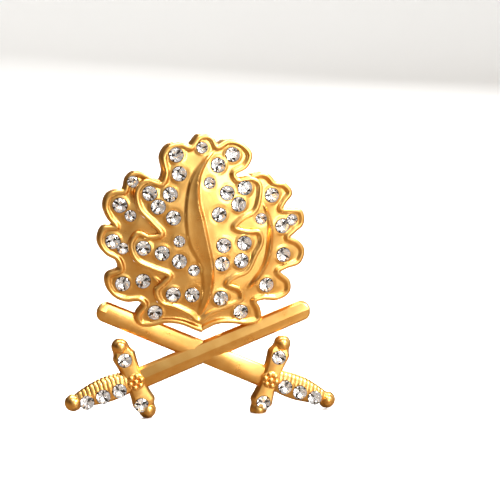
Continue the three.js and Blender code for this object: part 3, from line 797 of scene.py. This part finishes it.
def grip_surface():
    """Barrel with slanting rounded ribs that bow along the grip and fade under the stones."""
    rows, around, ribs = 160, 44, 13
    rings = []
    for i in range(rows + 1):
        t = i / rows
        ring = []
        half = grip_half(t)
        thick = 0.58 + 0.28 * math.sin(math.pi * min(1.0, 0.1 + 0.9 * t))
        for k in range(around):
            a = 2 * math.pi * k / around
            across, deep = math.cos(a), math.sin(a)
            z = half * across
            y = thick * math.copysign(abs(deep) ** 0.8, deep)
            lean = 0.42 * across + 0.3 * (1 - across * across)
            phase = (t * ribs + lean) % 1.0
            rise = 0.075 * (math.sqrt(max(0.0, 1 - (2 * phase - 1) ** 2)) - 0.6)
            shown = float(smoothstep((across + 0.35) / 0.5)) * (1 - 0.6 * max(0.0, across) ** 8)
            rise *= shown * min(1.0, t * 20, (1 - t) * 20)
            grow = 1 + rise / 0.9
            ring.append((-GRIP_START - GRIP_LENGTH * t, y * grow, z * grow + 0.11))
        rings.append(ring)
    return loft(rings)


def knob(x, z):
    """A ball on each face of a wider rounded end."""
    shells = [sphere((x, 0, z), KNOB, 0.8)]
    for face in (-1, 1):
        shells.append(sphere((x, face * 0.34, z), KNOB * 0.72, 0.95))
    return shells


def rosette():
    """Seven small balls on a low round boss, on both faces."""
    boss = turned([(0, -0.8), (0.78, -0.8), (0.9, -0.7), (0.9, 0.7), (0.78, 0.8), (0, 0.8)], 32)
    shells = [boss]
    for face in (-1, 1):
        shells.append(sphere((0, face * 0.8, 0), 0.33, 0.9, 10, 20))
        for i in range(6):
            a = i * math.pi / 3
            spot = (0.58 * math.cos(a), face * 0.78, 0.58 * math.sin(a))
            shells.append(sphere(spot, 0.32, 0.9, 10, 20))
    return shells


def stone_spots(kind):
    """Seat centres on one sword, in its own frame."""
    spots = [Vector((-x, -0.76, z)) for x, z in kind["guard"]]
    spots += [grip_turn(kind) @ Vector((-x, -0.88, z)) for x, z in kind["grip"]]
    return spots


def cut_seats(obj, spots):
    """Drills a round seat for each stone into the front of a closed piece."""
    radius = STONE["sword"] + SEAT_CLEAR
    cutters = []
    for spot in spots:
        profile = [(0, -1.4), (radius, -1.4), (radius, 0.05), (0, 0.74 * radius)]
        cutters.append(turned(profile, 40, Matrix.Translation(spot)))
    tool = new_piece("seat_tool", *joined(cutters), SATIN)
    cut = obj.modifiers.new("seats", "BOOLEAN")
    cut.operation = "DIFFERENCE"
    cut.solver = "EXACT"
    cut.use_self = True
    cut.object = tool
    apply_modifiers(obj)
    bpy.data.objects.remove(tool)


def apply_modifiers(obj):
    graph = bpy.context.evaluated_depsgraph_get()
    mesh = bpy.data.meshes.new_from_object(obj.evaluated_get(graph))
    obj.modifiers.clear()
    obj.data = mesh


def soften(obj, width, angle=25):
    """Small rounded edges."""
    bevel = obj.modifiers.new("soft edges", "BEVEL")
    bevel.width = width * MM
    bevel.segments = 2
    bevel.limit_method = "ANGLE"
    bevel.angle_limit = math.radians(angle)
    apply_modifiers(obj)


def join_objects(objects, name, material):
    """One object from several, with plain mesh data."""
    work = bmesh.new()
    for obj in objects:
        work.from_mesh(obj.data)
    mesh = bpy.data.meshes.new(name)
    work.to_mesh(mesh)
    work.free()
    mesh.materials.append(material)
    for obj in objects:
        bpy.data.objects.remove(obj)
    return add_object(name, mesh)


def put_in_place(obj, matrix):
    """Moves the mesh by a matrix in millimetres, and turns a mirrored one right side out."""
    scaled = Matrix.Scale(MM, 4) @ matrix @ Matrix.Scale(1 / MM, 4)
    obj.data.transform(scaled)
    if matrix.determinant() < 0:
        obj.data.flip_normals()


def make_hilt(kind):
    spots = stone_spots(kind)
    arms = []
    for direction, reach, spot in ((1, GUARD_UP, spots[0]), (-1, GUARD_DOWN, spots[1])):
        arm = new_piece("guard arm", *guard_arm(direction, reach), SATIN)
        soften(arm, 0.06)
        cut_seats(arm, [spot])
        arms.append(arm)
    handle = new_piece("handle", *grip_surface(), SATIN)
    handle.data.transform(grip_turn(kind))
    cut_seats(handle, spots[2:])
    pommel = grip_turn(kind) @ Vector((POMMEL_X, 0, 0))
    balls = knob(0, GUARD_UP) + knob(0, -GUARD_DOWN) + knob(pommel.x, pommel.z)
    return arms + [handle, new_piece("knobs", *joined(balls + rosette()), SATIN)]


def finish_sword(parts, name, node, kind):
    obj = join_objects(parts, name, SATIN)
    put_in_place(obj, sword_place(kind))
    finish_mesh(obj.data, 30)
    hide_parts(node)
    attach(obj, "badge")


def make_blade(kind, start, thick, end=None):
    obj = new_piece("blade", *blade(start, thick, end), SATIN)
    obj.data.transform(blade_turn(kind))
    soften(obj, 0.045)
    return obj


def crossing_distance():
    """Along the rear blade, from its rosette to where the blades' middles cross."""
    rise, other = REAR_SWORD["blade_rise"], FRONT_SWORD["blade_rise"]
    higher = FRONT_SWORD["height"] - REAR_SWORD["height"]
    reach = 2 * HILT_X * math.sin(other) + higher * math.cos(other)
    return reach / math.sin(rise + other)


def make_swords():
    cross = crossing_distance()
    front = make_hilt(FRONT_SWORD) + [make_blade(FRONT_SWORD, 0.2, 1.0)]
    finish_sword(front, "front_sword_detail", "front_sword", FRONT_SWORD)
    rear = make_hilt(REAR_SWORD) + [make_blade(REAR_SWORD, 0.2, REAR_THICK, cross)]
    finish_sword(rear, "rear_sword_detail", "rear_sword", REAR_SWORD)
    point = [make_blade(REAR_SWORD, cross, REAR_THICK)]
    finish_sword(point, "rear_point_detail", "rear_sword_point", REAR_SWORD)
    for title, kind in (("front", FRONT_SWORD), ("rear", REAR_SWORD)):
        for i, spot in enumerate(stone_spots(kind), 1):
            spin = Matrix.Rotation(i * STONE_SPIN, 4, "Y")
            place = sword_place(kind) @ Matrix.Translation(spot) @ spin
            make_stone(f"{title}_sword_crystal_{i}", f"{title}_sword_stone_{i}", STONE["sword"], place)


# ---- repeated parts, grown by node trees ----
def new_part_tree(name, inputs):
    tree = bpy.data.node_groups.new(name, "GeometryNodeTree")
    for label, kind in inputs:
        tree.interface.new_socket(label, in_out="INPUT", socket_type=kind)
    tree.interface.new_socket("Part", in_out="OUTPUT", socket_type="NodeSocketGeometry")
    return tree, tree.nodes.new("NodeGroupInput"), tree.nodes.new("NodeGroupOutput")


def end_tree(tree, inside, outside, shape):
    """Realize the instances, shade them smooth and give them the chosen material."""
    real = tree.nodes.new("GeometryNodeRealizeInstances")
    smooth = tree.nodes.new("GeometryNodeSetShadeSmooth")
    paint = tree.nodes.new("GeometryNodeSetMaterial")
    tree.links.new(shape, real.inputs[0])
    wire(tree,
         (real, 0, smooth, 0),
         (smooth, 0, paint, "Geometry"),
         (inside, "Material", paint, "Material"),
         (paint, 0, outside, "Part"))


def make_knob_ring_tree():
    """Rounded knobs spaced evenly round a circle, each turned to face outwards."""
    tree, inside, outside = new_part_tree("ring of knobs", [
        ("Count", "NodeSocketInt"), ("Ring Radius", "NodeSocketFloat"),
        ("Knob Size", "NodeSocketVector"), ("Material", "NodeSocketMaterial")])
    circle = tree.nodes.new("GeometryNodeMeshCircle")
    knob_shape = set_inputs(tree.nodes.new("GeometryNodeMeshUVSphere"), Segments=10, Rings=6)
    place = tree.nodes.new("GeometryNodeInputPosition")
    turn = tree.nodes.new("FunctionNodeAlignRotationToVector")
    turn.axis = "X"
    copies = tree.nodes.new("GeometryNodeInstanceOnPoints")
    wire(tree,
         (inside, "Count", circle, "Vertices"),
         (inside, "Ring Radius", circle, "Radius"),
         (place, "Position", turn, "Vector"),
         (circle, "Mesh", copies, "Points"),
         (knob_shape, "Mesh", copies, "Instance"),
         (turn, "Rotation", copies, "Rotation"),
         (inside, "Knob Size", copies, "Scale"))
    end_tree(tree, inside, outside, copies.outputs["Instances"])
    return tree


def make_coil_tree():
    """Round wire wound into an open coil along Z, with closed ends."""
    tree, inside, outside = new_part_tree("wire coil", [
        ("Turns", "NodeSocketFloat"), ("Coil Radius", "NodeSocketFloat"),
        ("Wire Radius", "NodeSocketFloat"), ("Length", "NodeSocketFloat"),
        ("Material", "NodeSocketMaterial")])
    path = set_inputs(tree.nodes.new("GeometryNodeCurveSpiral"), Resolution=28)
    section = set_inputs(tree.nodes.new("GeometryNodeCurvePrimitiveCircle"), Resolution=10)
    skin = set_inputs(tree.nodes.new("GeometryNodeCurveToMesh"), Fill_Caps=True)
    wire(tree,
         (inside, "Turns", path, "Rotations"),
         (inside, "Coil Radius", path, "Start Radius"),
         (inside, "Coil Radius", path, "End Radius"),
         (inside, "Length", path, "Height"),
         (inside, "Wire Radius", section, "Radius"),
         (path, "Curve", skin, "Curve"),
         (section, "Curve", skin, "Profile Curve"))
    end_tree(tree, inside, outside, skin.outputs["Mesh"])
    return tree


def grow(tree, name, values):
    """A plain mesh object from a node tree, its inputs set by socket identifier."""
    obj = add_object(name, bpy.data.meshes.new(name + "_seed"))
    modifier = obj.modifiers.new("shape", "NODES")
    modifier.node_group = tree
    for item in tree.interface.items_tree:
        if item.in_out == "INPUT":
            modifier[item.identifier] = values[item.name]
    apply_modifiers(obj)
    obj.data.name = name
    return obj


# ---- post and butterfly clutch ----
def clutch_piece(obj, node, body):
    """Says which node the piece shows and which body it rides on."""
    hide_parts(node)
    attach(obj, body)


def make_post():
    """Pin with a soldered flange, a groove for the jaws and a tapered tip."""
    profile = [
        (0, -1.34), (1.5, -1.34), (1.6, -1.26), (1.6, -1.05), (1.5, -0.99), (0.95, -0.94),
        (0.66, -0.78), (POST_R, -0.5), (POST_R, 2.72), (0.38, 2.82), (0.38, 3.28), (POST_R, 3.38),
        (POST_R, 4.6), (0.44, 4.84), (0.3, 5.12), (0.16, POST_TIP - 0.05), (0.06, POST_TIP),
        (0, POST_TIP),
    ]
    post = new_piece("post_detail", *turned(profile, 48), POLISHED, 40)
    clutch_piece(post, "post", "badge")


def make_disc():
    """Flat-bottomed dish with a rolled rim, and a knurled band round the rim."""
    profile = [(0.62, DISC_Y), (4.5, DISC_Y), (4.78, DISC_Y + 0.04), (5.0, DISC_Y + 0.16)]
    for angle in range(-115, 196, 18):
        a = math.radians(angle)
        profile.append((RIM_MIDDLE + RIM_ROLL * math.cos(a), RIM_Y + RIM_ROLL * math.sin(a)))
    profile += [(4.93, 2.2), (4.8, 2.13), (4.5, 2.1), (0.7, 2.1), (0.62, 2.04)]
    disc = new_piece("clutch_disc_detail", *turned(profile, 128), POLISHED, 40)
    clutch_piece(disc, "clutch_disc", "clutch_base")
    knurl = grow(make_knob_ring_tree(), "clutch_rim_knurl", {
        "Count": 132, "Ring Radius": (RIM_MIDDLE + RIM_ROLL - 0.01) * MM,
        "Knob Size": (0.055 * MM, 0.085 * MM, 0.26 * MM), "Material": POLISHED})
    turn = Matrix.Translation((0, (RIM_Y - 0.02) * MM, 0)) @ Matrix.Rotation(math.pi / 2, 4, "X")
    knurl.data.transform(turn)
    clutch_piece(knurl, "clutch_disc", "clutch_base")


def arc(x, y, radius, start, end, count):
    angles = [math.radians(start + (end - start) * i / count) for i in range(count + 1)]
    return [(x + radius * math.cos(a), y + radius * math.sin(a)) for a in angles]


def plate(outline, low, high, width=0.06):
    """An outline in x and y given thickness along z, with rounded edges."""
    rings = [[(x, y, z) for x, y in outline] for z in (low, high)]
    obj = new_piece("plate", *loft(rings), POLISHED)
    soften(obj, width, 40)
    return obj


def make_housing():
    """A base ring with two upright lugs that carry the pins of the wings."""
    ring = [(2.5, 2.2), (3.64, 2.2), (3.72, 2.28), (3.7, 2.46), (3.58, 2.56), (2.62, 2.56), (2.5, 2.48)]
    left = [(-2.8, 2.3), (-2.8, 3.0)] + arc(-PIVOT_X, PIVOT_Y, 0.6, 165, -10, 14) + [(-1.2, 3.75)]
    left += arc(-0.8, 3.75, 0.35, 180, 270, 5)
    outline = left + [(-x, y) for x, y in reversed(left)]
    parts = [new_piece("ring", *turned(ring, 96), POLISHED)]
    for low, high in ((2.6, 3.0), (-3.0, -2.6)):
        parts.append(plate(outline, low, high))
    housing = join_objects(parts, "clutch_housing_detail", POLISHED)
    finish_mesh(housing.data, 35)
    clutch_piece(housing, "clutch_housing", "clutch_top")


def make_springs():
    """Four short coils on the pins, between the jaws and the lugs."""
    tree = make_coil_tree()
    for title, x in (("left", -PIVOT_X), ("right", PIVOT_X)):
        for level, z in (("upper", 1.32), ("lower", -2.48)):
            coil = grow(tree, f"spring_coil_{title}_{level}", {
                "Turns": 4.5, "Coil Radius": 0.42 * MM, "Wire Radius": 0.09 * MM,
                "Length": 1.16 * MM, "Material": POLISHED})
            coil.data.transform(Matrix.Translation((x * MM, PIVOT_Y * MM, z * MM)))
            clutch_piece(coil, "clutch_housing", "clutch_top")


def ear_loop(width, height, foot):
    """A rounded ear on a straight foot: a closed loop of (across, up)."""
    right = [(foot, 0.0), (foot, 0.85)]
    for i in range(1, 33):
        t = i / 32
        a, b, c, d = (1 - t) ** 3, 3 * t * (1 - t) ** 2, 3 * t * t * (1 - t), t ** 3
        across = a * foot + b * width + c * 1.05 * width
        right.append((across, a * 0.85 + b * 1.2 + c * 0.98 * height + d * height))
    return np.array(right + [(-u, v) for u, v in reversed(right[:-1])])


def even_loop(loop, count):
    """The same closed loop with evenly spaced points."""
    closed = np.vstack([loop, loop[:1]])
    steps = np.hypot(*np.diff(closed, axis=0).T)
    along = np.concatenate([[0], np.cumsum(steps)])
    at = np.linspace(0, along[-1], count, endpoint=False)
    return np.stack([np.interp(at, along, closed[:, k]) for k in (0, 1)], axis=1)


def wing_place(side):
    """From (across, up, outwards) on the wing to the clutch's own frame."""
    sine, cosine = math.sin(WING_TILT), math.cos(WING_TILT)
    return Matrix(((0, side * sine, side * cosine, side * PIVOT_X),
                   (0, cosine, -sine, PIVOT_Y), (1, 0, 0, 0), (0, 0, 0, 1)))


# the wing's section: width of the lip, share of the way to the opening, height
WING_SECTION = [
    (0.0, 0.0, 0.22), (0.0, 0.0, -0.14), (0.07, 0.0, -0.30), (0.2, 0.0, -0.39), (0.36, 0.0, -0.38),
    (0.5, 0.0, -0.26), (0.58, 0.0, -0.10), (0.66, 0.0, 0.02), (0.75, 0.2, 0.08), (0.75, 0.6, 0.10),
    (0.75, 0.92, 0.07), (0.75, 1.0, 0.0), (0.75, 1.03, 0.08), (0.75, 1.0, 0.22), (0.75, 0.92, 0.27),
    (0.75, 0.6, 0.30), (0.75, 0.2, 0.29), (0.6, 0.0, 0.32), (0.3, 0.0, 0.38), (0.08, 0.0, 0.34),
]


def wing_shell(place):
    """Rolled lip round a shallow dish with an oval opening."""
    outline = even_loop(ear_loop(5.0, 4.6, 2.3), 128)
    middle = np.array([0.0, 2.25])
    away = outline - middle
    inward = -away / np.linalg.norm(away, axis=1)[:, None]
    angle = np.arctan2(away[:, 1] / 0.9, away[:, 0] / 1.55)
    opening = middle + np.stack([1.55 * np.cos(angle), 0.9 * np.sin(angle)], axis=1)
    count, points, faces = len(outline), [], []
    for lip, share, height in WING_SECTION:
        start = outline + inward * lip
        for u, v in start + (opening - start) * share:
            points.append((u, v, height))
    for i in range(len(WING_SECTION)):
        n = (i + 1) % len(WING_SECTION)
        for j in range(count):
            k = (j + 1) % count
            faces.append((i * count + j, i * count + k, n * count + k, n * count + j))
    return shell(points, faces, place)


def tongue_shell(place):
    """Rounded tab bent up from the foot in front of the opening."""
    rings = []
    for i in range(11):
        t = i / 10
        half = 0.75 * math.sqrt(max(0.02, 1 - max(0.0, (t - 0.6) / 0.4) ** 2))
        up, out = 0.15 + 2.0 * t, 0.05 - 0.35 * math.sin(math.pi * 0.6 * t)
        rings.append([(-half, up, out - 0.09), (half, up, out - 0.09),
                      (half, up, out + 0.09), (-half, up, out + 0.09)])
    return loft(rings, place)


def make_wing(side, name, node, body):
    place = wing_place(side)
    pin = [(0, -3.14), (0.34, -3.14), (0.42, -3.09), (0.42, -3.03), (0.27, -3.02), (0.27, 3.02),
           (0.42, 3.03), (0.42, 3.09), (0.34, 3.14), (0, 3.14)]
    along_z = Matrix.Translation((side * PIVOT_X, PIVOT_Y, 0)) @ Matrix.Rotation(math.pi / 2, 4, "X")
    jaw = [(2.12, 4.2), (1.8, 4.55), (1.6, 4.48), (0.66, 3.28), (0.58, 3.16), (0.58, 2.92),
           (0.72, 2.9), (0.98, 3.12)]
    parts = [new_piece("wing", *wing_shell(place), POLISHED),
             new_piece("tongue", *tongue_shell(place), POLISHED),
             new_piece("pin", *turned(pin, 32, along_z), POLISHED),
             plate([(side * x, y) for x, y in jaw], -1.2, 1.2)]
    wing = join_objects(parts, name, POLISHED)
    finish_mesh(wing.data, 45)
    clutch_piece(wing, node, body)


def make_clutch():
    make_post()
    make_disc()
    make_housing()
    make_springs()
    make_wing(-1, "wing_left_detail", "wing_left", "left_ear")
    make_wing(1, "wing_right_detail", "wing_right", "right_ear")


# ---- camera, light and floor ----
def make_camera():
    azimuth, elevation = math.radians(-12), math.radians(9)
    back = Vector((math.sin(azimuth) * math.cos(elevation), -math.cos(azimuth) * math.cos(elevation),
                   math.sin(elevation)))
    right = Vector((math.cos(azimuth), math.sin(azimuth), 0))
    up = back.cross(right)
    distance = 208.3
    target = right * 4.9 + up * 0.15
    data = bpy.data.cameras.new("camera")
    data.lens = 150
    data.sensor_width = 36
    data.clip_start = 0.005
    camera = add_object("camera", data)
    rotation = Matrix((right, up, back)).transposed().to_4x4()
    camera.matrix_world = Matrix.Translation((target + back * distance) * MM) @ rotation
    bpy.context.scene.camera = camera


def area_light(name, place, size, power):
    """A soft rectangle of light, metres and watts, turned to the middle of the badge."""
    data = bpy.data.lights.new(name, "AREA")
    data.shape = "RECTANGLE"
    data.size, data.size_y = size
    data.energy = power
    light = add_object(name, data)
    look = (Vector((0, 0, -0.002)) - Vector(place)).to_track_quat("-Z", "Y").to_matrix().to_4x4()
    light.matrix_world = Matrix.Translation(place) @ look


def make_light():
    area_light("key", (0.18, -0.14, 0.24), (0.12, 0.12), 1.25)
    area_light("top", (-0.04, -0.02, 0.30), (0.22, 0.12), 0.8)
    area_light("front", (0.135, -0.33, 0.075), (0.10, 0.10), 0.34)
    area_light("back", (0.10, 0.30, 0.16), (0.22, 0.22), 1.0)
    world = bpy.data.worlds.new("studio")
    world.use_nodes = True
    nodes, links = world.node_tree.nodes, world.node_tree.links
    place = nodes.new("ShaderNodeTexCoord")
    toward = nodes.new("ShaderNodeVectorMath")
    toward.operation = "DOT_PRODUCT"
    toward.inputs[1].default_value = Vector((0.62, -0.35, 0.70)).normalized()
    ramp = set_inputs(nodes.new("ShaderNodeMapRange"), From_Min=-0.25, From_Max=0.85)
    ramp.interpolation_type = "SMOOTHSTEP"
    colour = colour_between(nodes, links, ramp.outputs["Result"], (0.07, 0.036, 0.014),
                            (0.94, 0.93, 0.89))
    wire(world.node_tree, (place, "Generated", toward, 0), (toward, "Value", ramp, "Value"))
    links.new(colour, nodes["Background"].inputs["Color"])
    bpy.context.scene.world = world
    bpy.context.scene.view_settings.view_transform = "Standard"


def sweep_profile(low):
    """Floor running back into an upright backdrop through a wide quarter circle."""
    run = [(-1.2, low), (0.35, low)]
    for i in range(1, 13):
        a = math.pi / 2 * i / 12
        run.append((0.35 + 0.25 * math.sin(a), low + 0.25 * (1 - math.cos(a))))
    return run + [(0.6, 1.6)]


def make_floor():
    run = sweep_profile(cad_box[0][2] - 0.00005)
    points = [(x, y, z) for y, z in run for x in (-1.6, 1.6)]
    faces = [(2 * i, 2 * i + 1, 2 * i + 3, 2 * i + 2) for i in range(len(run) - 1)]
    mesh = bpy.data.meshes.new("floor")
    mesh.from_pydata(points, [], faces)
    mesh.shade_smooth()
    material, nodes, links, shader = new_material("pale floor")
    set_inputs(shader, Roughness=0.3)
    # pale to the camera, but dark warm brown in reflections: a painted reflection that deepens and warms
    # the gold's shaded faces
    path = nodes.new("ShaderNodeLightPath")
    colour = colour_between(nodes, links, path.outputs["Is Glossy Ray"], (0.95, 0.95, 0.95),
                            (0.18, 0.12, 0.06))
    links.new(colour, shader.inputs["Base Color"])
    mesh.materials.append(material)
    add_object("floor", mesh)


make_camera()
make_light()
make_floor()
make_leaves()
make_leaf_stones()
make_swords()
make_clutch()
